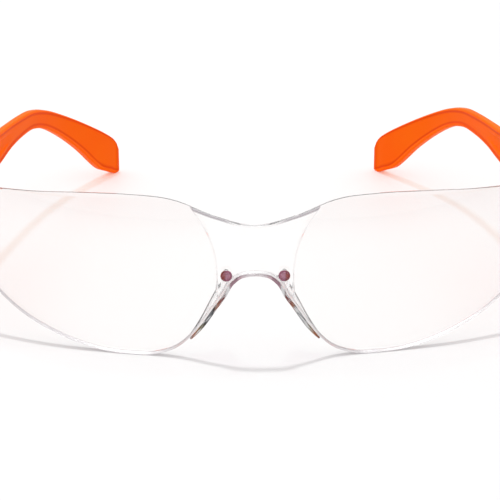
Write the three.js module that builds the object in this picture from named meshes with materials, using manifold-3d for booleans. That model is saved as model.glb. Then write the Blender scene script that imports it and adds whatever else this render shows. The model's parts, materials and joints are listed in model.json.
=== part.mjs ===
// Wraparound safety glasses: a clear one-piece lens with a soft clear nose piece,
// and two hinged orange temples, each held by a screw and a captured hex nut.
// Millimetres. X runs across the face, Y runs from the lens back to the temple tips, Z is up.
// The glasses stand open on a table, on the lower edge of the lens and on both temple tips.
import * as THREE from "three";
import { mergeVertices } from "three/addons/utils/BufferGeometryUtils.js";
import Module from "manifold-3d";

const wasm = await Module();
wasm.setup();

// Driving dimensions
const LOBE_RADIUS = 70; // each eye lobe is part of a sphere
const LOBE_CENTRE_X = 20; // where the sphere is furthest forward, to each side
const LOBE_CENTRE_Z = 27;
const LENS_HALF_SPAN = 76; // centre line to the lens's end, at the hinge
const LENS_THICKNESS = 2.2;
const CREASE_FOOT = 9.5; // centre line to the crease between bridge and lobe, at its lower end
const BRIDGE_RAISE = 0.3; // how far the middle of the bridge stands proud
const CREASE_STEP = 1.2; // how far the bridge stands proud of a lobe at the brow
const CREASE_LEDGE = 0.3; // and lower down

const HINGE_X = 73.8;
const HINGE_Y = 34;
const KNUCKLE_RADIUS = 2.7;
const LUG_BOTTOM = 28;
const LUG_TOP = 33.2;
const EAR_GAP = 0.2; // play between the lens lug and each temple ear
const LOWER_EAR_BOTTOM = 23.4;
const UPPER_EAR_TOP = 36.8;

const SCREW_RADIUS = 0.85;
const SCREW_HOLE_RADIUS = 0.93;
const SCREW_HEAD_RADIUS = 1.7;
const SCREW_HEAD_HEIGHT = 1.0;
const NUT_ACROSS_FLATS = 3.0;
const NUT_THICKNESS = 1.2;
const NUT_CLEARANCE = 0.15;
const SEAT_GAP = 0.05; // a fastener's face to the face it bears on

const STUD_X = 7.3;
const STUD_Z = 24.2;
const STUD_RADIUS = 0.9;
const STUD_HEAD_RADIUS = 1.55;
const STUD_HEAD_HEIGHT = 0.6;
const STUD_HOLE_RADIUS = 1.05;

// Cubic curve through [x, value] points, flat beyond both ends.
function smooth(points) {
  const slope = points.map((p, i) => {
    const a = points[Math.max(i - 1, 0)];
    const b = points[Math.min(i + 1, points.length - 1)];
    return (b[1] - a[1]) / (b[0] - a[0]);
  });
  return (x) => {
    if (x <= points[0][0]) return points[0][1];
    if (x >= points.at(-1)[0]) return points.at(-1)[1];
    const i = points.findIndex((p) => p[0] > x) - 1;
    const [x0, y0] = points[i];
    const [x1, y1] = points[i + 1];
    const h = x1 - x0;
    const t = (x - x0) / h;
    return (
      y0 * (1 + 2 * t) * (1 - t) ** 2 +
      slope[i] * h * t * (1 - t) ** 2 +
      y1 * t * t * (3 - 2 * t) +
      slope[i + 1] * h * t * t * (t - 1)
    );
  };
}

// Closed mesh from rings of points, each [x, y, z], with a cap on both ends.
function loft(rings) {
  const n = rings[0].length;
  const triangles = [];
  for (let r = 0; r + 1 < rings.length; r++)
    for (let i = 0; i < n; i++) {
      const j = (i + 1) % n;
      const [a, b, c, d] = [r * n + i, r * n + j, (r + 1) * n + j, (r + 1) * n + i];
      triangles.push(a, b, c, a, c, d);
    }
  capOf(rings[0]).forEach(([a, b, c]) => triangles.push(c, b, a));
  const last = (rings.length - 1) * n;
  capOf(rings.at(-1)).forEach(([a, b, c]) => triangles.push(last + a, last + b, last + c));
  return faceOut(bufferOf(rings.flat(), triangles));
}

// A ring is nearly flat, so its cap is triangulated in the plane of its two longest spreads.
function capOf(ring) {
  const box = new THREE.Box3().setFromPoints(ring.map((p) => new THREE.Vector3(...p)));
  const size = box.getSize(new THREE.Vector3()).toArray();
  const thin = size.indexOf(Math.min(...size));
  const [u, v] = [0, 1, 2].filter((k) => k !== thin);
  const flat = ring.map((p) => new THREE.Vector2(p[u], p[v]));
  const turned = THREE.ShapeUtils.isClockWise(flat);
  const order = ring.map((_, i) => (turned ? ring.length - 1 - i : i));
  const faces = THREE.ShapeUtils.triangulateShape(order.map((i) => flat[i]), []);
  const cap = faces.map((f) => f.map((i) => order[i]));
  return turned ? cap.map(([a, b, c]) => [c, b, a]) : cap;
}

function bufferOf(points, triangles) {
  const geometry = new THREE.BufferGeometry();
  geometry.setAttribute("position", new THREE.Float32BufferAttribute(points.flat(), 3));
  geometry.setIndex(triangles);
  return geometry;
}

// Turns the faces round if the closed mesh is inside out.
function faceOut(geometry) {
  const p = geometry.getAttribute("position");
  const at = (i) => new THREE.Vector3().fromBufferAttribute(p, i);
  const index = Array.from(geometry.index.array);
  let volume = 0;
  for (let i = 0; i < index.length; i += 3)
    volume += at(index[i]).dot(at(index[i + 1]).cross(at(index[i + 2])));
  if (volume < 0)
    for (let i = 0; i < index.length; i += 3)
      [index[i + 1], index[i + 2]] = [index[i + 2], index[i + 1]];
  return geometry.setIndex(index);
}

function solid(geometry) {
  const bare = geometry.clone();
  bare.deleteAttribute("normal");
  bare.deleteAttribute("uv");
  const merged = mergeVertices(bare, 1e-4);
  return new wasm.Manifold(
    new wasm.Mesh({
      numProp: 3,
      vertProperties: merged.getAttribute("position").array,
      triVerts: new Uint32Array(merged.index.array),
    }),
  );
}

function geometryOf(manifold) {
  const mesh = manifold.getMesh();
  const points = [];
  for (let i = 0; i < mesh.numVert; i++)
    points.push(Array.from(mesh.vertProperties.subarray(i * mesh.numProp, i * mesh.numProp + 3)));
  return bufferOf(points, Array.from(mesh.triVerts)).toNonIndexed();
}

function mirrored(geometry) {
  return faceOut(mergeVertices(geometry.clone().scale(-1, 1, 1), 1e-4));
}

// Upright cylinder between two heights.
function post(x, y, bottom, top, radius, sides = 24) {
  return solid(
    new THREE.CylinderGeometry(radius, radius, top - bottom, sides)
      .rotateX(Math.PI / 2)
      .translate(x, y, (bottom + top) / 2),
  );
}

// Cylinder along Y between two depths.
function peg(x, z, front, back, frontRadius, backRadius, sides = 20) {
  return solid(
    new THREE.CylinderGeometry(backRadius, frontRadius, back - front, sides)
      .translate(0, (front + back) / 2, 0)
      .translate(x, 0, z),
  );
}

// Plan outline, [x, y] points, extruded between two heights.
function slab(outline, bottom, top) {
  const shape = new THREE.Shape(outline.map(([x, y]) => new THREE.Vector2(x, y)));
  const options = { depth: top - bottom, bevelEnabled: false };
  return solid(new THREE.ExtrudeGeometry(shape, options).translate(0, 0, bottom));
}

// Lens: its upper and lower edges as heights over the distance from the centre line.
const lensTop = smooth([
  [-4, 37.75], [0, 37.3], [4, 37.75], [8.3, 39.1], [12, 40.4], [16, 42.2], [19.8, 43.7], [24, 44.6],
  [30, 45], [36, 45], [46, 44.3], [55, 43.1], [65, 41.5], [LENS_HALF_SPAN, 39],
]);
const lowerEdge = smooth([
  [-3.5, 24.2], [0, 24.65], [3.5, 24.2], [5.3, 23.1], [6.9, 21.3], [8.3, 18.6], [11.1, 14.3],
  [13.6, 10.3], [17.1, 5.5], [20.4, 2.5], [24.5, 0.7], [28, 0], [31, 0], [34, 0], [39.5, 0.4],
  [46, 1.8], [53, 4.1], [60, 7.2], [66, 11.2], [71, 16], [LENS_HALF_SPAN, 22.6],
]);
const lensBottom = (x) => Math.max(0, lowerEdge(x));

// Distance from the centre line to the crease between the bridge and a lobe.
function creaseAt(z) {
  return CREASE_FOOT + 6.7 * (Math.max(z - 25, 0) / 17.5) ** 2;
}

// Distance from the centre line of the mesh column that starts at `foot` on the lower edge.
function columnAt(foot, z) {
  if (foot <= CREASE_FOOT) return (creaseAt(z) * foot) / CREASE_FOOT;
  const left = (LENS_HALF_SPAN - foot) / (LENS_HALF_SPAN - CREASE_FOOT);
  return foot + (creaseAt(z) - CREASE_FOOT) * left ** 3;
}

function lobeDepth(x, z) {
  const across = x - LOBE_CENTRE_X;
  const up = z - LOBE_CENTRE_Z;
  return LOBE_RADIUS - Math.sqrt(LOBE_RADIUS ** 2 - across ** 2 - up ** 2);
}

// How far the bridge stands proud, at a share of the way from the centre line to the crease.
function raiseAt(share, z) {
  const up = THREE.MathUtils.smoothstep(z, 34, 42);
  return THREE.MathUtils.lerp(BRIDGE_RAISE, CREASE_LEDGE + (CREASE_STEP - CREASE_LEDGE) * up, share ** 4);
}

// Depth of the lens's front face behind the lobes' foremost point.
function lensFront(x, z) {
  const side = Math.abs(x);
  const crease = creaseAt(z);
  if (side > crease + 1e-6) return lobeDepth(side, z);
  return lobeDepth(crease, z) - raiseAt(side / crease, z);
}

// The point of the lens's back face behind a place on its front.
function lensBack(x, z) {
  const share = Math.min(1, Math.abs(x) / creaseAt(z));
  const depth = lobeDepth(Math.max(Math.abs(x), creaseAt(z)), z);
  const centre = new THREE.Vector3(Math.sign(x) * LOBE_CENTRE_X * share, LOBE_RADIUS, LOBE_CENTRE_Z);
  const point = new THREE.Vector3(x, depth, z);
  return point.add(centre.sub(point).setLength(LENS_THICKNESS)).toArray();
}

// Steps of equal length along the lens's lower edge, from the centre line to an end.
function stepsAlongEdge(end, count) {
  const fine = 2000;
  const run = [0];
  for (let i = 1; i <= fine; i++) {
    const [a, b] = [(end * (i - 1)) / fine, (end * i) / fine];
    run.push(run[i - 1] + Math.hypot(b - a, lensBottom(b) - lensBottom(a), lobeDepth(b, 20) - lobeDepth(a, 20)));
  }
  const steps = [];
  for (let k = 0; k <= count; k++) {
    const wanted = (run[fine] * k) / count;
    steps.push((end * run.findIndex((r) => r >= wanted - 1e-9)) / fine);
  }
  return steps;
}

function makeLens() {
  const rows = 8;
  const feet = stepsAlongEdge(LENS_HALF_SPAN, 38).filter((foot) => Math.abs(foot - CREASE_FOOT) > 0.5);
  feet.push(CREASE_FOOT, CREASE_FOOT + 0.1);
  feet.sort((a, b) => a - b);
  const columns = [...feet.slice(1).reverse().map((foot) => [-1, foot]), ...feet.map((foot) => [1, foot])];
  const rings = columns.map(([side, foot]) => {
    const low = lensBottom(foot);
    let high = 40;
    for (let i = 0; i < 30; i++) high = lensTop(columnAt(foot, high));
    const heights = Array.from({ length: rows + 1 }, (_, i) => low + ((high - low) * i) / rows);
    const front = heights.map((z) => {
      const x = side * columnAt(foot, z);
      return [x, lensFront(x, z), z];
    });
    const back = front.map(([x, , z]) => lensBack(x, z));
    back[0][2] = front[0][2]; // the lower edge face is level, so the lens can stand on it
    return [...front, ...back.reverse()];
  });
  let lens = solid(loft(rings));
  for (const side of [-1, 1]) {
    const outline = [
      [71.2, 25], [75, 28.6], [76.35, 33.2], [HINGE_X, HINGE_Y], [71.2, 33.6],
    ].map(([x, y]) => [side * x, y]);
    lens = lens.add(slab(outline, LUG_BOTTOM, LUG_TOP));
    lens = lens.add(post(side * HINGE_X, HINGE_Y, LUG_BOTTOM, LUG_TOP, KNUCKLE_RADIUS));
    lens = lens.subtract(post(side * HINGE_X, HINGE_Y, LUG_BOTTOM - 1, LUG_TOP + 1, SCREW_HOLE_RADIUS));
    lens = lens.subtract(peg(side * STUD_X, STUD_Z, -3, 8, STUD_HOLE_RADIUS, STUD_HOLE_RADIUS));
  }
  return geometryOf(lens);
}

// Nose piece: a soft strip that lines the nose cut-out, and widens behind the lens into two pads.
function makeNosePiece() {
  const footX = 16.9;
  const gap = 0.2; // strip to lens edge
  const clearOfLens = 3.2; // depth at which the strip has passed the lens and may flare
  const depthAt = smooth([
    [0, 3.6], [5.3, 4.4], [6.6, 7.4], [7.8, 9.9], [9, 10.6], [10, 10.3], [12, 8.4], [14, 6.2], [15.5, 4.9],
    [footX, 4.1],
  ]);
  const thicknessAt = smooth([[0, 0.65], [5.3, 0.8], [8.5, 0.9], [14, 0.9], [footX, 0.5]]);
  const flareAt = smooth([[0, 0], [5.3, 0.1], [8, 0.4], [14, 0.35], [footX, 0.3]]);
  const half = stepsAlongEdge(footX, 15);
  const path = [...half.slice(1).reverse().map((x) => -x), ...half];
  const rings = path.map((x) => {
    const side = Math.abs(x);
    const z = lensBottom(side);
    const rise = (lensBottom(side + 0.05) - lensBottom(side - 0.05)) / 0.1;
    const length = Math.hypot(1, rise);
    const towardsNose = [(Math.sign(x) * rise) / length, -1 / length];
    const front = lensFront(x, z) + 0.25;
    const at = (off, depth) => [x + towardsNose[0] * off, front + depth, z + towardsNose[1] * off];
    const near = gap + thicknessAt(side);
    const flare = flareAt(side);
    const depth = depthAt(side);
    return [
      at(gap, 0), at(gap, clearOfLens), at(gap - flare, depth - 0.2), at(gap - flare + 0.2, depth),
      at(near - flare - 0.2, depth), at(near - flare, depth - 0.2), at(near, clearOfLens), at(near, 0),
    ];
  });
  let piece = solid(loft(rings));
  const tabFront = 3.5;
  const tabBack = 4.55;
  const tabRadius = 1.15;
  const tabTopZ = STUD_Z - 0.35; // centre of the tab's round top, a little below the stud
  for (const side of [-1, 1]) {
    const tab = new THREE.Shape();
    tab.moveTo(4.9, 22.9);
    tab.absarc(STUD_X, tabTopZ, tabRadius, Math.PI, 0, true);
    tab.lineTo(8.8, 20.8);
    tab.lineTo(8.3, 18.5);
    tab.lineTo(6.3, 21.1);
    const upright = stripped(
      new THREE.ExtrudeGeometry(tab, { depth: tabBack - tabFront, bevelEnabled: false, curveSegments: 12 })
        .rotateX(Math.PI / 2)
        .translate(0, tabBack, 0)
        .scale(side, 1, 1),
    );
    piece = piece.add(solid(faceOut(mergeVertices(upright, 1e-4))));
    const face = lensFront(STUD_X, STUD_Z) - 0.1;
    piece = piece.add(peg(side * STUD_X, STUD_Z, face - 0.1, tabFront + 0.5, STUD_RADIUS, STUD_RADIUS));
    piece = piece.add(
      peg(side * STUD_X, STUD_Z, face - STUD_HEAD_HEIGHT, face, STUD_HEAD_RADIUS * 0.7, STUD_HEAD_RADIUS),
    );
  }
  return geometryOf(piece);
}

function stripped(geometry) {
  const bare = geometry.clone();
  bare.deleteAttribute("normal");
  bare.deleteAttribute("uv");
  return bare;
}

// Right temple, as stations along its length.
// [depth y, centre x, lower edge, upper edge, thickness, depth of the recess in the inner face]
const TEMPLE_STATIONS = [
  [29.5, 77.3, 23.4, 38.0, 0.7, 0],
  [33, 77.95, 22.6, 38.6, 2.0, 0],
  [37.6, 78.2, 22.6, 38.6, 2.5, 0],
  [45, 77.9, 23.0, 38.2, 3.0, 0],
  [50, 77.6, 23.4, 37.9, 3.0, 0.8],
  [60, 76.9, 24.2, 37.2, 3.0, 0.8],
  [72, 75.4, 25.3, 36.6, 2.9, 0.8],
  [84, 72.7, 26.6, 35.4, 2.5, 0.6],
  [92, 70.7, 27.8, 35.0, 2.3, 0],
  [102, 68.1, 28.2, 34.3, 2.4, 0],
  [110, 65.7, 27.7, 33.4, 2.5, 0],
  [118, 62.7, 25.0, 31.1, 2.7, 0],
  [126, 58.8, 19.9, 27.3, 2.8, 0],
  [134, 53.8, 12.7, 22.5, 2.9, 0],
  [142, 48.3, 3.8, 17.0, 3.0, 0],
  [146, 45.5, 1.4, 13.9, 3.0, 0],
  [148.4, 43.9, 0, 11.7, 2.9, 0],
  [149.5, 43.1, 0, 9.9, 2.7, 0],
  [150, 42.8, 0, 8.2, 2.4, 0],
];

function templeSection(y) {
  const column = (k) => smooth(TEMPLE_STATIONS.map((s) => [s[0], s[k]]))(y);
  const [x, bottom, top, thickness, recess] = [1, 2, 3, 4, 5].map(column);
  const next = smooth(TEMPLE_STATIONS.map((s) => [s[0], s[1]]));
  const run = Math.atan2(next(y + 0.5) - next(y - 0.5), 1);
  const outward = [Math.cos(run), -Math.sin(run)];
  const h = thickness / 2;
  const e = Math.min(0.6, h * 0.5);
  const rim = (top - bottom) * 0.2;
  const at = (off, z) => [x + outward[0] * off, y + outward[1] * off, z];
  const slope = 0.8;
  return [
    at(h - e, bottom), at(h, bottom + e), at(h, top - e), at(h - e, top),
    at(-h + e, top), at(-h, top - e), at(-h, top - rim), at(-h + recess, top - rim - slope),
    at(-h + recess, bottom + rim + slope), at(-h, bottom + rim), at(-h, bottom + e), at(-h + e, bottom),
  ];
}

function makeTemple() {
  const rings = [];
  for (let i = 0; i + 1 < TEMPLE_STATIONS.length; i++) {
    const [a, b] = [TEMPLE_STATIONS[i][0], TEMPLE_STATIONS[i + 1][0]];
    const parts = b - a > 4.5 ? 2 : 1;
    for (let k = 0; k < parts; k++) rings.push(templeSection(a + ((b - a) * k) / parts));
  }
  rings.push(templeSection(TEMPLE_STATIONS.at(-1)[0]));
  let temple = solid(loft(rings));
  const ears = [
    [LOWER_EAR_BOTTOM, LUG_BOTTOM - EAR_GAP],
    [LUG_TOP + EAR_GAP, UPPER_EAR_TOP],
  ];
  for (const [bottom, top] of ears) {
    temple = temple.add(post(HINGE_X, HINGE_Y, bottom, top, KNUCKLE_RADIUS));
    const web = [
      [HINGE_X, HINGE_Y - 2.3], [77.6, HINGE_Y - 2.3], [77.6, HINGE_Y + 4.5], [76.2, HINGE_Y + 4.5],
      [HINGE_X, HINGE_Y + 2.65],
    ];
    temple = temple.add(slab(web, bottom, top));
  }
  temple = temple.subtract(post(HINGE_X, HINGE_Y, LOWER_EAR_BOTTOM - 1, UPPER_EAR_TOP + 1, SCREW_HOLE_RADIUS));
  const pocketRadius = (NUT_ACROSS_FLATS / 2 + NUT_CLEARANCE) / Math.cos(Math.PI / 6);
  const pocketTop = LOWER_EAR_BOTTOM + NUT_THICKNESS + 2 * SEAT_GAP;
  temple = temple.subtract(post(HINGE_X, HINGE_Y, LOWER_EAR_BOTTOM - 1, pocketTop, pocketRadius, 6));
  return geometryOf(temple);
}

// Pan head screw with a cross recess, standing on the upper ear.
function makeScrew() {
  const headBottom = UPPER_EAR_TOP + SEAT_GAP;
  const headTop = headBottom + SCREW_HEAD_HEIGHT;
  const profile = [
    [0, LOWER_EAR_BOTTOM + 0.3], [SCREW_RADIUS - 0.2, LOWER_EAR_BOTTOM + 0.3],
    [SCREW_RADIUS, LOWER_EAR_BOTTOM + 0.5], [SCREW_RADIUS, headBottom],
    [SCREW_HEAD_RADIUS, headBottom], [SCREW_HEAD_RADIUS, headBottom + 0.45],
    [SCREW_HEAD_RADIUS * 0.85, headTop - 0.2], [SCREW_HEAD_RADIUS * 0.5, headTop], [0, headTop],
  ].map(([r, z]) => new THREE.Vector2(r, z));
  const turned = new THREE.LatheGeometry(profile, 24).rotateX(Math.PI / 2);
  let screw = solid(faceOut(mergeVertices(stripped(turned), 1e-4))).translate([HINGE_X, HINGE_Y, 0]);
  for (const [w, d] of [[1.9, 0.4], [0.4, 1.9]]) {
    const cut = new THREE.BoxGeometry(w, d, 1).translate(HINGE_X, HINGE_Y, headTop);
    screw = screw.subtract(solid(cut));
  }
  return geometryOf(screw);
}

function makeNut() {
  const bottom = LOWER_EAR_BOTTOM + SEAT_GAP;
  const hexRadius = NUT_ACROSS_FLATS / 2 / Math.cos(Math.PI / 6);
  const nut = post(HINGE_X, HINGE_Y, bottom, bottom + NUT_THICKNESS, hexRadius, 6);
  return geometryOf(nut.subtract(post(HINGE_X, HINGE_Y, bottom - 1, bottom + 3, SCREW_HOLE_RADIUS)));
}

function finish(color, roughness, metalness, opacity = 1) {
  return new THREE.MeshStandardMaterial({
    color, roughness, metalness, opacity, transparent: opacity < 1,
  });
}

const clearPolycarbonate = finish(0xf4f7f8, 0.05, 0, 0.25);
const softClearVinyl = finish(0xe6cfd8, 0.3, 0, 0.55);
const orangeNylon = finish(0xff5a05, 0.4, 0);
const steel = finish(0xb9bcc0, 0.3, 1);

const glasses = new THREE.Group();

function add(name, geometry, material) {
  const mesh = new THREE.Mesh(geometry, material);
  mesh.name = name;
  glasses.add(mesh);
}

add("lens", makeLens(), clearPolycarbonate);
add("nose_piece", makeNosePiece(), softClearVinyl);
const sided = [
  ["temple", makeTemple(), orangeNylon],
  ["hinge_screw", makeScrew(), steel],
  ["hinge_nut", makeNut(), steel],
];
for (const [name, geometry, material] of sided) {
  add(`${name}_right`, geometry, material);
  add(`${name}_left`, mirrored(geometry), material);
}

// The origin is under the middle of the whole object, on the table.
const box = new THREE.Box3().setFromObject(glasses);
glasses.position.set(0, -(box.min.y + box.max.y) / 2, 0);

export default glasses;
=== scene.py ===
"""Wraparound safety glasses on a white table: clear lens, soft clear nose piece, orange temples."""

import json
import math

import bmesh
import bpy
from mathutils import Matrix, Vector


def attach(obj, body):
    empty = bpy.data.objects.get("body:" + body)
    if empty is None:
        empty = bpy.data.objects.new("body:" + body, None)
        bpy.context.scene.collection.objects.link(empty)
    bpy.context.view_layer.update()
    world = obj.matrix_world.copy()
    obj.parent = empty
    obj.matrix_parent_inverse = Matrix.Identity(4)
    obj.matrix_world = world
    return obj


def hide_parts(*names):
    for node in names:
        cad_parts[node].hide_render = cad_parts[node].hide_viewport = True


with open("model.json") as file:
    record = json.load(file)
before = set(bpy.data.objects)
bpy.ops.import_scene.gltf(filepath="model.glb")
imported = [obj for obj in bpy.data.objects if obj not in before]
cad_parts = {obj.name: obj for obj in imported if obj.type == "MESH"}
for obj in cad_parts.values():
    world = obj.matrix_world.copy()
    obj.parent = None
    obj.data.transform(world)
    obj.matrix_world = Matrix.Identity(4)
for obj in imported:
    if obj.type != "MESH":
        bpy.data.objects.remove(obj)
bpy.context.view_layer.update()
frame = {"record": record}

# ---------------------------------------------------------------------------------------------
# Lens
# One clear polycarbonate moulding, hard coated and polished. Two ball-shaped eye lobes meet a
# bridge at a crease, and a hinge lug grows from the back of each end.
# ---------------------------------------------------------------------------------------------
MM = 0.001
LOBE_RADIUS = 70
LOBE_CENTRE_X = 20
LOBE_CENTRE_Z = 27
LENS_HALF_SPAN = 76
LENS_THICKNESS = 2.2
LENS_EDGE_ROUNDING = 0.3
CREASE_FOOT = 9.5
CREASE_WIDTH = 0.3
BRIDGE_RAISE = 0.3
CREASE_STEP = 1.2
CREASE_LEDGE = 0.3
KNUCKLE_RADIUS = 2.7
KNUCKLE_CHAMFER = 0.25
LUG_HEIGHTS = (28, 33.2)
PIN_HOLE_RADIUS = 0.93
STUD_PLACE = (7.3, 24.2)
STUD_HOLE_RADIUS = 1.05
HINGE_DEPTH = 34  # from the foremost point of the lobes back to the hinge pins

joints = frame["record"]["behaviour"]["joints"]
right_pin = next(Vector(joint["pos_m"]) / MM for joint in joints if joint["child"] == "right_temple")
HINGE_X = right_pin.x
lens_face_y = right_pin.y - HINGE_DEPTH


def smooth(*points):
    """Cubic curve through (x, value) points, flat beyond both ends."""
    slopes = []
    for i in range(len(points)):
        (xa, ya), (xb, yb) = points[max(i - 1, 0)], points[min(i + 1, len(points) - 1)]
        slopes.append((yb - ya) / (xb - xa))

    def at(x):
        if x <= points[0][0]:
            return points[0][1]
        if x >= points[-1][0]:
            return points[-1][1]
        i = next(k for k in range(1, len(points)) if points[k][0] > x) - 1
        (x0, y0), (x1, y1) = points[i], points[i + 1]
        h = x1 - x0
        t = (x - x0) / h
        ends = y0 * (1 + 2 * t) * (1 - t) ** 2 + y1 * t * t * (3 - 2 * t)
        return ends + h * (slopes[i] * t * (1 - t) ** 2 + slopes[i + 1] * t * t * (t - 1))

    return at


def ease(low, high, x):
    t = min(max((x - low) / (high - low), 0), 1)
    return t * t * (3 - 2 * t)


lens_top = smooth(
    (-4, 37.75), (0, 37.3), (4, 37.75), (8.3, 39.1), (12, 40.4), (16, 42.2), (19.8, 43.7), (24, 44.6),
    (30, 45), (36, 45), (46, 44.3), (55, 43.1), (65, 41.5), (LENS_HALF_SPAN, 39),
)
lens_low_curve = smooth(
    (-3.5, 24.2), (0, 24.65), (3.5, 24.2), (5.3, 23.1), (6.9, 21.3), (8.3, 18.6), (11.1, 14.3),
    (13.6, 10.3), (17.1, 5.5), (20.4, 2.5), (24.5, 0.7), (28, 0), (31, 0), (34, 0), (39.5, 0.4),
    (46, 1.8), (53, 4.1), (60, 7.2), (66, 11.2), (71, 16), (LENS_HALF_SPAN, 22.6),
)


def lens_bottom(x):
    return max(0, lens_low_curve(x))


def crease_at(z):
    """Distance of the crease from the centre line: it leans outwards towards the brow."""
    return CREASE_FOOT + 6.7 * (max(z - 25, 0) / 17.5) ** 2


def column_at(foot, z):
    """Sideways place at a height of the column that stands on a foot, leaning as the crease does."""
    if foot <= CREASE_FOOT:
        return crease_at(z) * foot / CREASE_FOOT
    left = (LENS_HALF_SPAN - foot) / (LENS_HALF_SPAN - CREASE_FOOT)
    return foot + (crease_at(z) - CREASE_FOOT) * left**3


def lobe_depth(x, z):
    """Depth of the ball that one eye lobe is cut from."""
    return LOBE_RADIUS - math.sqrt(LOBE_RADIUS**2 - (x - LOBE_CENTRE_X) ** 2 - (z - LOBE_CENTRE_Z) ** 2)


def lens_front(x, z):
    """Depth of the front face: the bridge stands proud of the lobes, most of all at the brow."""
    side, crease = abs(x), crease_at(z)
    step = CREASE_LEDGE + (CREASE_STEP - CREASE_LEDGE) * ease(34, 42, z)
    if side > crease:
        return lobe_depth(side, z) - step * (1 - ease(0, CREASE_WIDTH, side - crease))
    share = (side / crease) ** 4
    return lobe_depth(crease, z) - BRIDGE_RAISE * (1 - share) - step * share


def lens_back(x, z):
    """Point on the back face, straight through the lens's thickness."""
    share = min(1, abs(x) / crease_at(z))
    centre = Vector((math.copysign(LOBE_CENTRE_X * share, x), LOBE_RADIUS, LOBE_CENTRE_Z))
    point = Vector((x, lobe_depth(max(abs(x), crease_at(z)), z), z))
    return point + (centre - point).normalized() * LENS_THICKNESS


def even_steps(end, count):
    """Distances from the centre line, evenly spaced along the lens's lower edge."""
    fine = 3000
    run = [0]
    for i in range(1, fine + 1):
        a, b = end * (i - 1) / fine, end * i / fine
        depth = lobe_depth(b, 20) - lobe_depth(a, 20)
        run.append(run[-1] + math.hypot(b - a, lens_bottom(b) - lens_bottom(a), depth))
    steps, i = [], 0
    for k in range(count + 1):
        while run[i] < run[-1] * k / count - 1e-9:
            i += 1
        steps.append(end * i / fine)
    return steps


def new_object(name, points, faces):
    """Mesh object from points in millimetres, with depths from the lens's foremost point."""
    mesh = bpy.data.meshes.new(name)
    mesh.from_pydata([(x * MM, (y + lens_face_y) * MM, z * MM) for x, y, z in points], [], faces)
    mesh.validate()
    obj = bpy.data.objects.new(name, mesh)
    bpy.context.scene.collection.objects.link(obj)
    return obj


def face_out(obj):
    work = bmesh.new()
    work.from_mesh(obj.data)
    bmesh.ops.recalc_face_normals(work, faces=work.faces)
    work.to_mesh(obj.data)
    work.free()
    return obj


def loft(name, rings):
    """Closed skin through rings of points, with a flat cap on both ends."""
    n = len(rings[0])
    faces = []
    for r in range(len(rings) - 1):
        for i in range(n):
            j = (i + 1) % n
            faces.append((r * n + i, r * n + j, (r + 1) * n + j, (r + 1) * n + i))
    last = (len(rings) - 1) * n
    faces += [tuple(range(n))[::-1], tuple(range(last, last + n))]
    return face_out(new_object(name, [p for ring in rings for p in ring], faces))


def settle(obj):
    """Bakes an object's modifiers into its mesh."""
    seen = obj.evaluated_get(bpy.context.evaluated_depsgraph_get())
    mesh = bpy.data.meshes.new_from_object(seen)
    obj.modifiers.clear()
    obj.data = mesh
    return obj


def combine(obj, other, operation):
    """Joins another closed piece to this one, or cuts it away, and uses it up."""
    joining = obj.modifiers.new("joining", "BOOLEAN")
    joining.operation = operation
    joining.solver = "EXACT"
    joining.object = other
    settle(obj)
    bpy.data.objects.remove(other)


def turned(name, centre, profile, axis="Z", sides=48):
    """Closed turned piece: (radius, height) from the bottom's centre to the top's centre."""
    points, faces = [], []
    for r, h in profile[1:-1]:
        for i in range(sides):
            a = 2 * math.pi * i / sides
            points.append((r * math.cos(a), r * math.sin(a), h))
    rows = len(profile) - 2
    for k in range(rows - 1):
        for i in range(sides):
            j = (i + 1) % sides
            faces.append((k * sides + i, k * sides + j, (k + 1) * sides + j, (k + 1) * sides + i))
    points += [(0, 0, profile[0][1]), (0, 0, profile[-1][1])]
    for i in range(sides):
        j = (i + 1) % sides
        faces.append((j, i, len(points) - 2))
        faces.append(((rows - 1) * sides + i, (rows - 1) * sides + j, len(points) - 1))
    if axis == "Y":
        points = [(x, z, -y) for x, y, z in points]
    cx, cy, cz = centre
    return face_out(new_object(name, [(x + cx, y + cy, z + cz) for x, y, z in points], faces))


def bore(obj, centre, radius, low, high, axis="Z", sides=48):
    """Cuts a straight hole between two heights along its axis."""
    profile = [(0, low), (radius, low), (radius, high), (0, high)]
    combine(obj, turned("hole", centre, profile, axis, sides), "DIFFERENCE")


def barrel(name, pin, low, high):
    """Upright hinge barrel with chamfered rims."""
    r, chamfer = KNUCKLE_RADIUS, KNUCKLE_CHAMFER
    profile = [
        (0, low), (r - chamfer, low), (r, low + chamfer),
        (r, high - chamfer), (r - chamfer, high), (0, high),
    ]
    return turned(name, pin, profile)


def slab(name, outline, bottom, top):
    """Upright plate on a plan outline of (x, y) points."""
    return loft(name, [[(x, y, z) for x, y in outline] for z in (bottom, top)])


def shade(obj, material, angle):
    """Smooth faces, kept crisp where they meet at more than the angle in degrees."""
    obj.data.materials.clear()
    obj.data.materials.append(material)
    obj.data.shade_smooth()
    obj.data.set_sharp_from_angle(angle=math.radians(angle))
    return obj


def quarter_round(point, inward, outward):
    """Rounds a corner, from a point on one face towards the edge face."""
    r, steps = LENS_EDGE_ROUNDING, 3
    centre = point + inward * r
    angles = [math.pi / 2 * k / steps for k in range(1, steps + 1)]
    return [centre - inward * r * math.cos(a) + outward * r * math.sin(a) for a in angles]


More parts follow.
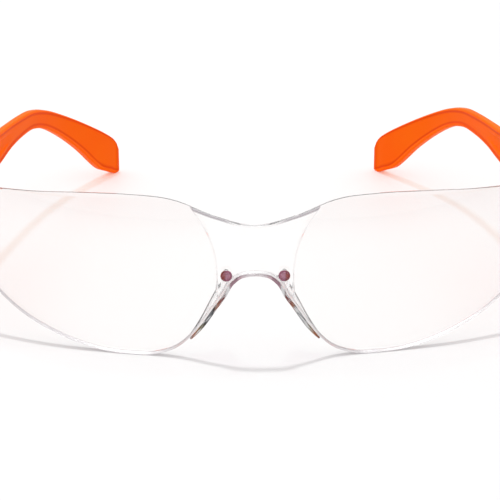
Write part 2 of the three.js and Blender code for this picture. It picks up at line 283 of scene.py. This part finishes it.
def lens_ring(side, foot):
    """One upright section through the lens, round its front, top, back and lower edge."""
    rows, r = 46, LENS_EDGE_ROUNDING
    low, high = lens_bottom(foot), 40
    for _ in range(30):  # the column leans, so its top is reached in small corrections
        high = lens_top(column_at(foot, high))
    front, back = [], []
    for i in range(rows + 1):
        z = low + r + (high - low - 2 * r) * i / rows
        x = side * column_at(foot, z)
        front.append(Vector((x, lens_front(x, z), z)))
        back.append(lens_back(x, z))
    through_low = (back[0] - front[0]).normalized()
    through_high = (back[-1] - front[-1]).normalized()
    up = Vector((0, 0, 1))
    ring = quarter_round(front[0], through_low, -up)[::-1] + front
    ring += quarter_round(front[-1], through_high, up)
    ring += quarter_round(back[-1], -through_high, up)[::-1] + back[::-1]
    ring += quarter_round(back[0], -through_low, -up)
    return [tuple(p) for p in ring]


def make_lens():
    close = 0.45  # columns stand closer together within this distance of the crease
    feet = [f for f in even_steps(LENS_HALF_SPAN, 110) if abs(f - CREASE_FOOT) > close]
    feet += [CREASE_FOOT + d for d in (-0.2, 0, 0.08, 0.16, 0.24, 0.32, close)]
    feet.sort()
    columns = [(-1, f) for f in reversed(feet[1:])] + [(1, f) for f in feet]
    lens = loft("lens", [lens_ring(side, foot) for side, foot in columns])
    low, high = LUG_HEIGHTS
    lug = [(71.2, 25), (75, 28.6), (76.35, 33.2), (HINGE_X, HINGE_DEPTH), (71.2, 33.6)]
    for side in (-1, 1):
        pin = (side * HINGE_X, HINGE_DEPTH, 0)
        combine(lens, slab("lug", [(side * x, y) for x, y in lug], low, high), "UNION")
        combine(lens, barrel("knuckle", pin, low, high), "UNION")
        bore(lens, pin, PIN_HOLE_RADIUS, low - 1, high + 1)
        bore(lens, (side * STUD_PLACE[0], 0, STUD_PLACE[1]), STUD_HOLE_RADIUS, -3, 8, axis="Y")
    return lens


def mark(obj, name, amount_at):
    """Stores a number from 0 to 1 on every point, for the material to read."""
    layer = obj.data.attributes.new(name, "FLOAT", "POINT")
    for i, v in enumerate(obj.data.vertices):
        x, y, z = v.co / MM
        layer.data[i].value = amount_at(x, y - lens_face_y, z)


def new_material(name):
    material = bpy.data.materials.new(name)
    material.use_nodes = True
    nodes, links = material.node_tree.nodes, material.node_tree.links
    return material, nodes, links, nodes["Principled BSDF"]


def blend_colour(nodes, links, amount, base, top):
    """Colour that goes from base to top as the amount goes from 0 to 1."""
    mix = nodes.new("ShaderNodeMix")
    mix.data_type = "RGBA"
    links.new(amount, mix.inputs["Factor"])
    for colour, socket in ((base, mix.inputs["A"]), (top, mix.inputs["B"])):
        if isinstance(colour, tuple):
            socket.default_value = (*colour, 1)
        else:
            links.new(colour, socket)
    return mix.outputs["Result"]


def work_out(nodes, links, operation, *terms):
    """Result of one sum on sockets and plain numbers."""
    total = nodes.new("ShaderNodeMath")
    total.operation = operation
    for term, socket in zip(terms, total.inputs):
        if isinstance(term, (int, float)):
            socket.default_value = term
        else:
            links.new(term, socket)
    return total.outputs["Value"]


def stretch(nodes, links, value, between, on_to=(0, 1)):
    """Stretches one range of a value on to another, and holds the value inside it."""
    span = nodes.new("ShaderNodeMapRange")
    for name, number in zip(("From Min", "From Max", "To Min", "To Max"), (*between, *on_to)):
        span.inputs[name].default_value = number
    links.new(value, span.inputs["Value"])
    return span.outputs["Result"]


def speckle(nodes, links, scale, detail):
    """Random variation from place to place in the material."""
    place = nodes.new("ShaderNodeTexCoord")
    noise = nodes.new("ShaderNodeTexNoise")
    noise.inputs["Scale"].default_value = scale
    noise.inputs["Detail"].default_value = detail
    links.new(place.outputs["Object"], noise.inputs["Vector"])
    return noise.outputs["Fac"]


def read_mark(nodes, name):
    reader = nodes.new("ShaderNodeAttribute")
    reader.attribute_name = name
    return reader.outputs["Fac"]


def let_light_through(material, passed, *rays):
    """Lets one or two kinds of light ray fall straight through a plastic, in the colour passed."""
    nodes, links = material.node_tree.nodes, material.node_tree.links
    path = nodes.new("ShaderNodeLightPath")
    kinds = [path.outputs[ray] for ray in rays] + [0]
    passing = nodes.new("ShaderNodeBsdfTransparent")
    if isinstance(passed, tuple):
        passing.inputs["Color"].default_value = (*passed, 1)
    else:
        links.new(passed, passing.inputs["Color"])
    mix = nodes.new("ShaderNodeMixShader")
    links.new(work_out(nodes, links, "MAXIMUM", *kinds[:2]), mix.inputs["Fac"])
    links.new(nodes["Principled BSDF"].outputs["BSDF"], mix.inputs[1])
    links.new(passing.outputs["BSDF"], mix.inputs[2])
    links.new(mix.outputs["Shader"], nodes["Material Output"].inputs["Surface"])


BARE_TONE = (0.995, 0.995, 0.99)
# The tinted tone is the lens's faint pink cast with painted reflection in it, heaviest towards the top
# and ends.
TINT_AND_REFLECTION_TONE = (0.93, 0.89, 0.885)
# Painted shade and light on the frosted edges: the darker tone paints the dark lines along the lens's
# edges and creases, and the lighter one paints the lit middle of the brow and the nose cut-out.
SHADED_EDGE_TONE = (0.34, 0.3, 0.33)
LIT_EDGE_TONE = (0.7, 0.67, 0.68)
FACE_SHADOW = (0.98, 0.974, 0.976)
EDGE_SHADOW = (0.34, 0.32, 0.33)

clear_polycarbonate, nodes, links, plastic = new_material("clear_polycarbonate")
frosting_and_shade = read_mark(nodes, "frosting_and_shade")
# Painted reflection: the tint deepens towards the top and the ends of each lobe.
lens_tint_and_reflection = blend_colour(nodes, links, read_mark(nodes, "tint_and_reflection"), BARE_TONE, TINT_AND_REFLECTION_TONE)
# The frosted edges take painted shade, and are lighter where the edge is painted lit.
frosted_edge_shade = blend_colour(nodes, links, read_mark(nodes, "lit_edge"), SHADED_EDGE_TONE, LIT_EDGE_TONE)
tone = blend_colour(nodes, links, frosting_and_shade, lens_tint_and_reflection, frosted_edge_shade)
links.new(tone, plastic.inputs["Base Color"])
clearness = work_out(nodes, links, "MULTIPLY_ADD", frosting_and_shade, -0.85, 1)
links.new(clearness, plastic.inputs["Transmission Weight"])
plastic.inputs["IOR"].default_value = 1.58
wipe_marks = stretch(nodes, links, speckle(nodes, links, 90, 4), (0.55, 0.8), (0, 0.05))
matte = work_out(nodes, links, "MULTIPLY_ADD", frosting_and_shade, 0.45, wipe_marks)
links.new(matte, plastic.inputs["Roughness"])
shadow_tone = blend_colour(nodes, links, read_mark(nodes, "lower_edge"), FACE_SHADOW, EDGE_SHADOW)
let_light_through(clear_polycarbonate, shadow_tone, "Is Shadow Ray", "Is Diffuse Ray")


def tint_and_reflection_at(x, y, z):
    """A faint pink tint of the lens, with painted reflection that greys it towards the top and the ends
    of each lobe.
    """
    lobe = ease(-0.3, 0.3, abs(x) - crease_at(z))
    return lobe * (0.1 + 0.4 * ease(30, 44, z) + 0.4 * ease(40, 70, abs(x)))


def place_on_front(x, y, z):
    """Distance out and height of the place on the front face that a point lies behind."""
    share = min(1, abs(x) / crease_at(z))
    centre = Vector((LOBE_CENTRE_X * share, LOBE_RADIUS, LOBE_CENTRE_Z))
    ray = Vector((abs(x), y, z)) - centre
    place = centre + ray * max(1, LOBE_RADIUS / ray.length)
    return place.x, place.z


def lower_edge_at(x, y, z):
    """The lower edge face and its rounded corners, which scatter light and cast a line of shadow."""
    side, height = place_on_front(x, y, z)
    return 1 - ease(0.12, 0.28, height - lens_bottom(side))


def on_brow_edge(side, height):
    """The bridge's top edge face and its rounded corners."""
    return side < crease_at(height) + 0.1 and lens_top(side) - height < LENS_EDGE_ROUNDING + 0.02


def lit_edge_at(x, y, z):
    """Where the frosted edges take the lighter painted tone: the middle of the brow edge and the nose
    cut-out's edge. The other edges carry painted shade.
    """
    side, height = place_on_front(x, y, z)
    if on_brow_edge(side, height):
        return 1 - ease(0.3, 0.6, side / crease_at(height))
    return lower_edge_at(x, y, z) * (1 - ease(13, 17, side))


def frosting_and_shade_at(x, y, z):
    """Frosted faces, with painted shade in their colour: the lower edge, faintly the creases, and the
    front of the brow edge.
    """
    side, height = place_on_front(x, y, z)
    crease = crease_at(height)
    if on_brow_edge(side, height):
        band = 0.4 + 1.5 * ease(0.5, 0.95, side / crease)
        amount = 0.15 + 0.75 * ease(0.25, 0.6, side / crease)
        return amount * (1 - ease(band, band + 0.4, y - lens_front(x, z)))
    if -0.05 < side - crease < CREASE_WIDTH + 0.05 and y < lens_front(x, z) + 0.7:
        return 0.15
    return 0.75 * lower_edge_at(x, y, z)


lens = shade(make_lens(), clear_polycarbonate, 35)
mark(lens, "tint_and_reflection", tint_and_reflection_at)
mark(lens, "frosting_and_shade", frosting_and_shade_at)
mark(lens, "lit_edge", lit_edge_at)
mark(lens, "lower_edge", lower_edge_at)
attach(lens, "front")
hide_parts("lens")

# ---------------------------------------------------------------------------------------------
# Nose piece
# A soft clear vinyl strip, moulded in one with two pads and two studs. It lines the nose
# cut-out, and its studs snap through the lens from behind.
# ---------------------------------------------------------------------------------------------
STRIP_END = 16.9
STRIP_GAP = 0.2
CLEAR_OF_LENS = 3.2
STUD_RADIUS = 0.9
STUD_HEAD = (1.55, 0.6)  # radius and height
TAB_DEPTHS = (3.5, 4.55)
TAB_TAPER = 0.5
TAB_RADIUS = 1.15
TAB_DROP = 0.35  # the tab's round top is centred this far below its stud


def fuse(parts, grid, rounds):
    """Melts overlapping closed parts into one soft-edged body, on a grid in millimetres."""
    whole = parts[0]
    work = bmesh.new()
    for part in parts:
        work.from_mesh(part.data)
    work.to_mesh(whole.data)
    work.free()
    for part in parts[1:]:
        bpy.data.objects.remove(part)
    melt = whole.modifiers.new("melt", "REMESH")
    melt.mode = "VOXEL"
    melt.voxel_size = grid * MM
    soften = whole.modifiers.new("soften", "SMOOTH")
    soften.factor = 0.5
    soften.iterations = rounds
    return settle(whole)


pad_depth = smooth(
    (0, 3.6), (5.3, 4.4), (6.6, 7.4), (7.8, 9.9), (9, 10.6), (10, 10.3), (12, 8.4), (14, 6.2),
    (15.5, 4.9), (STRIP_END, 4.1),
)
strip_thickness = smooth((0, 0.65), (5.3, 0.8), (8.5, 0.9), (14, 0.9), (STRIP_END, 0.5))
pad_flare = smooth((0, 0), (5.3, 0.1), (8, 0.4), (14, 0.35), (STRIP_END, 0.3))


def strip_front(side, z):
    """Depth of the strip's front face, a little behind the lens's."""
    return lens_front(side, z) + 0.25


def strip_ring(x):
    """Section across the strip, square to the edge of the nose cut-out."""
    side = abs(x)
    z = lens_bottom(side)
    rise = (lens_bottom(side + 0.05) - lens_bottom(side - 0.05)) / 0.1
    length = math.hypot(1, rise)
    towards_nose = (math.copysign(1, x) * rise / length, -1 / length)
    front, depth, flare = strip_front(side, z), pad_depth(side), pad_flare(side)
    near, bevel = STRIP_GAP + strip_thickness(side), 0.2

    def at(off, back):
        return (x + towards_nose[0] * off, front + back, z + towards_nose[1] * off)

    return [
        at(STRIP_GAP, 0), at(STRIP_GAP, CLEAR_OF_LENS), at(STRIP_GAP - flare, depth - bevel),
        at(STRIP_GAP - flare + bevel, depth), at(near - flare - bevel, depth),
        at(near - flare, depth - bevel), at(near, CLEAR_OF_LENS), at(near, 0),
    ]


def make_tab(side):
    """Thin tab behind the lens that carries one stud, joined to the strip at its foot."""
    cx, cz = STUD_PLACE
    arc = [math.pi * (1 - k / 20) for k in range(21)]
    start, end = TAB_DEPTHS
    rings = []
    for y, inset in ((start, 0), (start + 0.15, 0), (end, TAB_TAPER)):
        r = TAB_RADIUS - inset
        outline = [(4.9 + inset, 22.9)]
        outline += [(cx + r * math.cos(a), cz - TAB_DROP + r * math.sin(a)) for a in arc]
        outline += [(8.8 - inset, 20.8), (8.3, 18.5), (6.3, 21.1)]
        rings.append([(side * x, y, z) for x, z in outline])
    return loft("tab", rings)


def make_stud(side):
    """Domed stud head in front of the lens, on a shank that runs back into its tab."""
    cx, cz = STUD_PLACE
    face = lens_front(cx, cz) - 0.1
    radius, height = STUD_HEAD
    root = TAB_DEPTHS[0] + 0.5
    profile = [(0, face - height)]
    for k in range(1, 9):
        a = math.pi / 2 * k / 8
        profile.append((radius * math.sin(a), face - height * math.cos(a) ** 0.8))
    profile += [(radius * 0.97, face + 0.05), (STUD_RADIUS, face + 0.05), (STUD_RADIUS, root), (0, root)]
    return turned("stud", (side * cx, 0, cz), profile, "Y")


def make_nose_piece():
    half = even_steps(STRIP_END, 60)
    parts = [loft("nose_piece", [strip_ring(x) for x in [-h for h in reversed(half[1:])] + half])]
    for side in (-1, 1):
        parts += [make_tab(side), make_stud(side)]
    return fuse(parts, grid=0.14, rounds=4)


def arch_front(x, y, z):
    """The narrow front face of the strip, where it arches over the nose."""
    side = abs(x)
    return (1 - ease(6.2, 6.7, side)) * (1 - ease(0.35, 0.7, y - strip_front(side, z)))


def stud_at(x, y, z):
    """The stud heads and the front of their shanks."""
    off_centre = math.hypot(abs(x) - STUD_PLACE[0], z - STUD_PLACE[1])
    return (1 - ease(0, 0.3, off_centre - STUD_HEAD[0])) * (1 - ease(2.4, 2.8, y))


def mauve_at(x, y, z):
    """The vinyl's own mauve cast, which shows where it is thick: in the studs and the arch."""
    return max(stud_at(x, y, z), (0.35 + 0.5 * ease(1, 5, abs(x))) * arch_front(x, y, z))


def back_edge_shade_at(x, y, z):
    """Painted shade: a dark line in the colour of each pad's back edge, where the strip is cut off
    square.
    """
    side = abs(x)
    behind = y - strip_front(side, max(z, 0)) - pad_depth(side)
    return ease(-1.7, -1.2, behind) * ease(7.6, 8.2, side)


def front_face_at(x, y, z):
    """Front face of each pad's part of the strip, which is moulded a little milky."""
    side = abs(x)
    return ease(6.2, 6.7, side) * (1 - ease(0.3, 0.7, y - strip_front(side, max(z, 0))))


def piped_reflection_at(x, y, z):
    """The lower run of the pad's front face, where painted reflections stand for the light it pipes
    along the strip.
    """
    return ease(7.2, 7.8, abs(x)) * front_face_at(x, y, z)


def clouded_at(x, y, z):
    """Cut and mould-marked edges are cloudy. The rest of the vinyl comes out glossy and clear."""
    arch = arch_front(x, y, z) * (0.45 + 0.3 * ease(1, 5, abs(x)))
    return max(arch, 0.65 * front_face_at(x, y, z), 0.9 * back_edge_shade_at(x, y, z))


def roughen(nodes, links, shader, height, strength, distance):
    """Gives a surface a fine relief that only the light sees."""
    bump = nodes.new("ShaderNodeBump")
    bump.inputs["Strength"].default_value = strength
    bump.inputs["Distance"].default_value = distance
    links.new(height, bump.inputs["Height"])
    links.new(bump.outputs["Normal"], shader.inputs["Normal"])


CLEAR_VINYL = (0.985, 0.975, 0.98)
MAUVE = (0.3, 0.1, 0.16)
# Painted shade along the back edge of each pad.
PAD_EDGE_SHADE = (0.06, 0.058, 0.065)
# Painted reflections of the orange temples and the dark surroundings, laid on the front of each pad,
# from its start by the stud to its lower end.
PAINTED_REFLECTION_TONES = [
    (0.0, (0.13, 0.01, 0.01)), (0.12, (0.25, 0.02, 0.01)), (0.22, (0.42, 0.13, 0.05)),
    (0.32, (0.03, 0.022, 0.022)), (0.44, (0.3, 0.32, 0.34)), (0.55, (0.03, 0.025, 0.02)),
    (0.68, (0.26, 0.22, 0.11)), (0.82, (0.5, 0.15, 0.04)), (1.0, (0.18, 0.02, 0.01)),
]

soft_vinyl, nodes, links, vinyl = new_material("soft_clear_vinyl")
vinyl.inputs["IOR"].default_value = 1.5
vinyl.inputs["Roughness"].default_value = 0.06
clearness = work_out(nodes, links, "SUBTRACT", 1, read_mark(nodes, "clouded"))
links.new(clearness, vinyl.inputs["Transmission Weight"])

place = nodes.new("ShaderNodeTexCoord")
across = nodes.new("ShaderNodeSeparateXYZ")
links.new(place.outputs["Object"], across.inputs["Vector"])
side_way = work_out(nodes, links, "ABSOLUTE", across.outputs["X"])
painted_reflection_ramp = nodes.new("ShaderNodeValToRGB")
for k, (where, colour) in enumerate(PAINTED_REFLECTION_TONES):
    stop = painted_reflection_ramp.color_ramp.elements[k] if k < 2 else painted_reflection_ramp.color_ramp.elements.new(where)
    stop.position = where
    stop.color = (*colour, 1)
links.new(stretch(nodes, links, side_way, (7.5 * MM, 17 * MM)), painted_reflection_ramp.inputs["Fac"])

both_pads = nodes.new("ShaderNodeCombineXYZ")
links.new(side_way, both_pads.inputs["X"])
links.new(across.outputs["X"], both_pads.inputs["Y"])
links.new(across.outputs["Z"], both_pads.inputs["Z"])
drawn_out = nodes.new("ShaderNodeMapping")
drawn_out.vector_type = "TEXTURE"
drawn_out.inputs["Rotation"].default_value = (0, math.radians(52), 0)
drawn_out.inputs["Scale"].default_value = (2.5, 8, 0.3)
links.new(both_pads.outputs["Vector"], drawn_out.inputs["Vector"])
flow = nodes.new("ShaderNodeTexNoise")
flow.inputs["Scale"].default_value = 900
flow.inputs["Detail"].default_value = 2
links.new(drawn_out.outputs["Vector"], flow.inputs["Vector"])
reflection_patches = stretch(nodes, links, flow.outputs["Fac"], (0.38, 0.52))
# Painted reflection: streaks of these colours on the front of each pad.
painted_reflection_streaks = work_out(nodes, links, "MULTIPLY", read_mark(nodes, "piped_reflection"), reflection_patches)

tone = blend_colour(nodes, links, read_mark(nodes, "mauve"), CLEAR_VINYL, MAUVE)
tone = blend_colour(nodes, links, read_mark(nodes, "back_edge_shade"), tone, PAD_EDGE_SHADE)
tone = blend_colour(nodes, links, painted_reflection_streaks, tone, painted_reflection_ramp.outputs["Color"])
links.new(tone, vinyl.inputs["Base Color"])
roughen(nodes, links, vinyl, speckle(nodes, links, 400, 2), 0.1, 0.0001)
let_light_through(soft_vinyl, (0.96, 0.94, 0.95), "Is Shadow Ray", "Is Diffuse Ray")

nose_piece = make_nose_piece()
shade(nose_piece, soft_vinyl, 60)
mark(nose_piece, "mauve", mauve_at)
mark(nose_piece, "clouded", clouded_at)
mark(nose_piece, "back_edge_shade", back_edge_shade_at)
mark(nose_piece, "piped_reflection", piped_reflection_at)
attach(nose_piece, "front")
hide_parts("nose_piece")

# ---------------------------------------------------------------------------------------------
# Temples
# Each side arm is one orange nylon moulding: a flat strip that bends down behind the ear, with
# a shallow recess in its inner face and two ears that fork round the lens's lug.
# ---------------------------------------------------------------------------------------------
# (depth, centre x, lower edge, upper edge, thickness, recess depth)
TEMPLE_STATIONS = [
    (29.5, 77.3, 23.4, 38.0, 0.7, 0),
    (33, 77.95, 22.6, 38.6, 2.0, 0),
    (37.6, 78.2, 22.6, 38.6, 2.5, 0),
    (45, 77.9, 23.0, 38.2, 3.0, 0),
    (50, 77.6, 23.4, 37.9, 3.0, 0.8),
    (60, 76.9, 24.2, 37.2, 3.0, 0.8),
    (72, 75.4, 25.3, 36.6, 2.9, 0.8),
    (84, 72.7, 26.6, 35.4, 2.5, 0.6),
    (92, 70.7, 27.8, 35.0, 2.3, 0),
    (102, 68.1, 28.2, 34.3, 2.4, 0),
    (110, 65.7, 27.7, 33.4, 2.5, 0),
    (118, 62.7, 25.0, 31.1, 2.7, 0),
    (126, 58.8, 19.9, 27.3, 2.8, 0),
    (134, 53.8, 12.7, 22.5, 2.9, 0),
    (142, 48.3, 3.8, 17.0, 3.0, 0),
    (146, 45.5, 1.4, 13.9, 3.0, 0),
    (148.4, 43.9, 0, 11.7, 2.9, 0),
    (149.5, 43.1, 0, 9.9, 2.7, 0),
    (150, 42.8, 0, 8.2, 2.4, 0),
]
TIP_DEPTH = TEMPLE_STATIONS[-1][0]
BEAD_WIDTH = 0.85
BEAD_HEIGHT = 0.18
RECESS_SLOPE = 0.8
POCKET_HALF_WIDTH = 1.65
POCKET_DEPTH = 1.3
LOWER_EAR = (23.4, LUG_HEIGHTS[0] - 0.2)
UPPER_EAR = (LUG_HEIGHTS[1] + 0.2, 36.8)


def sunk(inset):
    """The inner face lies a little below the bead that runs round its edge."""
    return BEAD_HEIGHT * ease(BEAD_WIDTH - 0.1, BEAD_WIDTH + 0.45, inset)


temple_x, temple_bottom, temple_top, temple_thickness, recess_depth = (
    smooth(*((station[0], station[k]) for station in TEMPLE_STATIONS)) for k in range(1, 6)
)


def temple_ring(y):
    """Section across the temple, square to its run, with a rounded edge all round."""
    x, bottom, top = temple_x(y), max(0, temple_bottom(y)), temple_top(y)
    half, recess = temple_thickness(y) / 2, recess_depth(y)
    turn = math.atan2(temple_x(y + 0.5) - temple_x(y - 0.5), 1)
    outward = (math.cos(turn), -math.sin(turn))
    edge = min(0.6, half * 0.5)
    rim = max((top - bottom) * 0.2, BEAD_WIDTH + 1.25)
    steps = 5
    bead = [BEAD_WIDTH - 0.15 + 0.24 * k for k in range(steps + 1)]
    to_tip = TIP_DEPTH - y
    ring = []

    def put(off, z):
        ring.append((x + outward[0] * off, y + outward[1] * off, z))

    def round_corner(off, z, off_sign, z_sign, from_side):
        for k in range(steps + 1):
            a = math.pi / 2 * k / steps
            if not from_side:
                a = math.pi / 2 - a
            put(off - off_sign * edge * (1 - math.cos(a)), z - z_sign * edge * (1 - math.sin(a)))

    round_corner(half, bottom, 1, -1, False)
    round_corner(half, top, 1, 1, True)
    round_corner(-half, top, -1, 1, False)
    for inset in bead:
        put(-half + sunk(min(inset, to_tip)), top - inset)
    for k in range(steps + 1):
        t = k / steps
        put(-half + sunk(to_tip) + recess * t * t * (3 - 2 * t), top - rim - RECESS_SLOPE * t)
    for k in range(steps + 1):
        t = 1 - k / steps
        put(-half + sunk(to_tip) + recess * t * t * (3 - 2 * t), bottom + rim + RECESS_SLOPE * t)
    for inset in reversed(bead):
        put(-half + sunk(min(inset, to_tip)), bottom + inset)
    round_corner(-half, bottom, -1, -1, True)
    return ring


def make_temple():
    start, sections = TEMPLE_STATIONS[0][0], 180
    depths = [start + (TIP_DEPTH - start) * i / sections for i in range(sections + 1)]
    temple = loft("temple", [temple_ring(y) for y in depths])
    pin = (HINGE_X, HINGE_DEPTH, 0)
    web = [
        (HINGE_X, HINGE_DEPTH - 2.3), (77.6, HINGE_DEPTH - 2.3), (77.6, HINGE_DEPTH + 4.5),
        (76.2, HINGE_DEPTH + 4.5), (HINGE_X, HINGE_DEPTH + 2.65),
    ]
    for low, high in (LOWER_EAR, UPPER_EAR):
        combine(temple, barrel("ear", pin, low, high), "UNION")
        combine(temple, slab("web", web, low, high), "UNION")
    under = LOWER_EAR[0]
    bore(temple, pin, PIN_HOLE_RADIUS, under - 1, UPPER_EAR[1] + 1)
    pocket_radius = POCKET_HALF_WIDTH / math.cos(math.pi / 6)
    bore(temple, pin, pocket_radius, under - 1, under + POCKET_DEPTH, sides=6)
    return temple


def mirrored(obj, name):
    """The same piece for the other side."""
    mesh = obj.data.copy()
    mesh.transform(Matrix.Diagonal((-1, 1, 1, 1)))
    mesh.flip_normals()
    twin = bpy.data.objects.new(name, mesh)
    bpy.context.scene.collection.objects.link(twin)
    return twin


ORANGE = ((1.0, 0.116, 0.0), (1.0, 0.134, 0.0))
# Painted shade along the foot of the bead on each temple's inner face.
SHADED_ORANGE = (0.82, 0.065, 0.0)

orange_nylon, nodes, links, nylon = new_material("orange_nylon")
mottle = stretch(nodes, links, speckle(nodes, links, 60, 3), (0.3, 0.7))
mottled = blend_colour(nodes, links, mottle, *ORANGE)
bead_shade_tone = blend_colour(nodes, links, read_mark(nodes, "rim"), mottled, SHADED_ORANGE)
links.new(bead_shade_tone, nylon.inputs["Base Color"])
roughen(nodes, links, nylon, speckle(nodes, links, 2500, 2), 0.25, 0.00005)
nylon.inputs["Roughness"].default_value = 0.45
nylon.inputs["Specular IOR Level"].default_value = 0.05
nylon.inputs["Specular Tint"].default_value = (1, 0.3, 0.04, 1)
let_light_through(orange_nylon, (0.93, 0.8, 0.72), "Is Shadow Ray")


def bead_shade_at(x, y, z):
    """Painted shade: darker orange in the corner along the foot of the bead, where its step throws
    shade.
    """
    inset = min(temple_top(y) - z, z - max(0, temple_bottom(y)), TIP_DEPTH - y)
    starts = ease(BEAD_WIDTH - 0.3, BEAD_WIDTH + 0.15, inset)
    return starts * (1 - ease(BEAD_WIDTH + 0.35, BEAD_WIDTH + 0.95, inset))


temple_right = shade(make_temple(), orange_nylon, 40)
temple_right.name = "temple_right"
# The rim mark carries painted shade along the foot of the bead.
mark(temple_right, "rim", bead_shade_at)
temple_left = mirrored(temple_right, "temple_left")
for side, temple in (("right", temple_right), ("left", temple_left)):
    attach(temple, f"{side}_temple")
    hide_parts(f"temple_{side}")

# ---------------------------------------------------------------------------------------------
# Hinge screws
# A plated steel pan head screw goes down through each hinge from above, with a cross recess in
# its head. It turns with the temple.
# ---------------------------------------------------------------------------------------------
SCREW_RADIUS = 0.85
SCREW_HEAD = (1.7, 1.0)  # radius and height


def make_screw():
    low, seat = LOWER_EAR[0] + 0.3, UPPER_EAR[1] + 0.05
    radius, height = SCREW_HEAD
    shoulder = 0.35  # the head's upright side, below its dome
    profile = [
        (0, low), (SCREW_RADIUS - 0.2, low), (SCREW_RADIUS, low + 0.2), (SCREW_RADIUS, seat),
        (radius - 0.08, seat), (radius, seat + 0.08), (radius, seat + shoulder),
    ]
    for k in range(1, 7):
        a = math.pi / 2 * k / 6
        profile.append((radius * math.cos(a), seat + shoulder + (height - shoulder) * math.sin(a)))
    profile[-1] = (0, seat + height)
    screw = turned("hinge_screw", (HINGE_X, HINGE_DEPTH, 0), profile)
    corners = ((-1, -1), (1, -1), (1, 1), (-1, 1))
    for w, d in ((0.95, 0.2), (0.2, 0.95)):
        outline = [(HINGE_X + a * w, HINGE_DEPTH + b * d) for a, b in corners]
        combine(screw, slab("cross", outline, seat + 0.5, seat + 2), "DIFFERENCE")
    return screw


plated_steel, nodes, links, steel = new_material("plated_steel")
steel.inputs["Metallic"].default_value = 1
steel.inputs["Base Color"].default_value = (0.6, 0.61, 0.63, 1)
scuffs = stretch(nodes, links, speckle(nodes, links, 900, 5), (0, 1), (0.18, 0.42))
links.new(scuffs, steel.inputs["Roughness"])

screw_right = shade(make_screw(), plated_steel, 35)
screw_right.name = "hinge_screw_right"
screw_left = mirrored(screw_right, "hinge_screw_left")
for side, screw in (("right", screw_right), ("left", screw_left)):
    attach(screw, f"{side}_temple")
    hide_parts(f"hinge_screw_{side}")

# ---------------------------------------------------------------------------------------------
# Hinge nuts
# A plated steel hex nut sits in a pocket under each hinge, where the pocket's flats stop it
# from turning, and takes the end of the screw.
# ---------------------------------------------------------------------------------------------
NUT_HALF_WIDTH = 1.5
NUT_HEIGHT = 1.2


def make_nut():
    low = LOWER_EAR[0] + 0.05
    high = low + NUT_HEIGHT
    radius = NUT_HALF_WIDTH / math.cos(math.pi / 6)
    pin = (HINGE_X, HINGE_DEPTH, 0)
    profile = [
        (0, low), (radius - 0.15, low), (radius, low + 0.12),
        (radius, high - 0.12), (radius - 0.15, high), (0, high),
    ]
    nut = turned("hinge_nut", pin, profile, sides=6)
    bore(nut, pin, PIN_HOLE_RADIUS, low - 1, low + 3)
    return nut


nut_right = shade(make_nut(), plated_steel, 30)
nut_right.name = "hinge_nut_right"
nut_left = mirrored(nut_right, "hinge_nut_left")
for side, nut in (("right", nut_right), ("left", nut_left)):
    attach(nut, f"{side}_temple")
    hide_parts(f"hinge_nut_{side}")

# ---------------------------------------------------------------------------------------------
# Table, light and camera
# A plain white table top in an evenly lit white room. A broad faint light hangs overhead, and
# a small lamp, a little behind the glasses, draws their shadows. The camera looks down from in
# front.
# ---------------------------------------------------------------------------------------------
TABLE_REACH = 3000
LOOKING_DOWN = 21.595  # degrees below level
TURNED = -0.936  # degrees, positive to the left

white_table, nodes, links, paint = new_material("white_table")
paint.inputs["Base Color"].default_value = (0.715, 0.715, 0.715, 1)
paint.inputs["Roughness"].default_value = 0.6
corners = [(a * TABLE_REACH, b * TABLE_REACH, 0) for a, b in ((-1, -1), (1, -1), (1, 1), (-1, 1))]
table = new_object("table", corners, [(0, 1, 2, 3)])
table.data.materials.append(white_table)

world = bpy.data.worlds.new("room")
bpy.context.scene.world = world
world.use_nodes = True
world.node_tree.nodes["Background"].inputs["Color"].default_value = (1, 1, 1, 1)
world.node_tree.nodes["Background"].inputs["Strength"].default_value = 0.86


def soft_light(name, place, target, size, power):
    """Square light, with its side in metres and its power in watts."""
    light = bpy.data.lights.new(name, "AREA")
    light.shape = "SQUARE"
    light.size = size
    light.energy = power
    obj = bpy.data.objects.new(name, light)
    obj.location = place
    obj.rotation_euler = (Vector(target) - Vector(place)).to_track_quat("-Z", "Y").to_euler()
    bpy.context.scene.collection.objects.link(obj)


soft_light("overhead_light", (-0.35, 0.35, 1.5), (0, 0, 0), 1.2, 3)
soft_light("ceiling_lamp", (-0.12, 0.24, 1.5), (0, -0.05, 0), 0.1, 11.5)

camera_data = bpy.data.cameras.new("camera")
camera_data.lens = 139.6
camera_data.sensor_width = 36
camera = bpy.data.objects.new("camera", camera_data)
camera.location = (-0.0087, lens_face_y * MM - 0.45, 0.2095)
camera.rotation_euler = (math.radians(90 - LOOKING_DOWN), 0, math.radians(TURNED))
bpy.context.scene.collection.objects.link(camera)
bpy.context.scene.camera = camera
bpy.context.scene.view_settings.view_transform = "Standard"
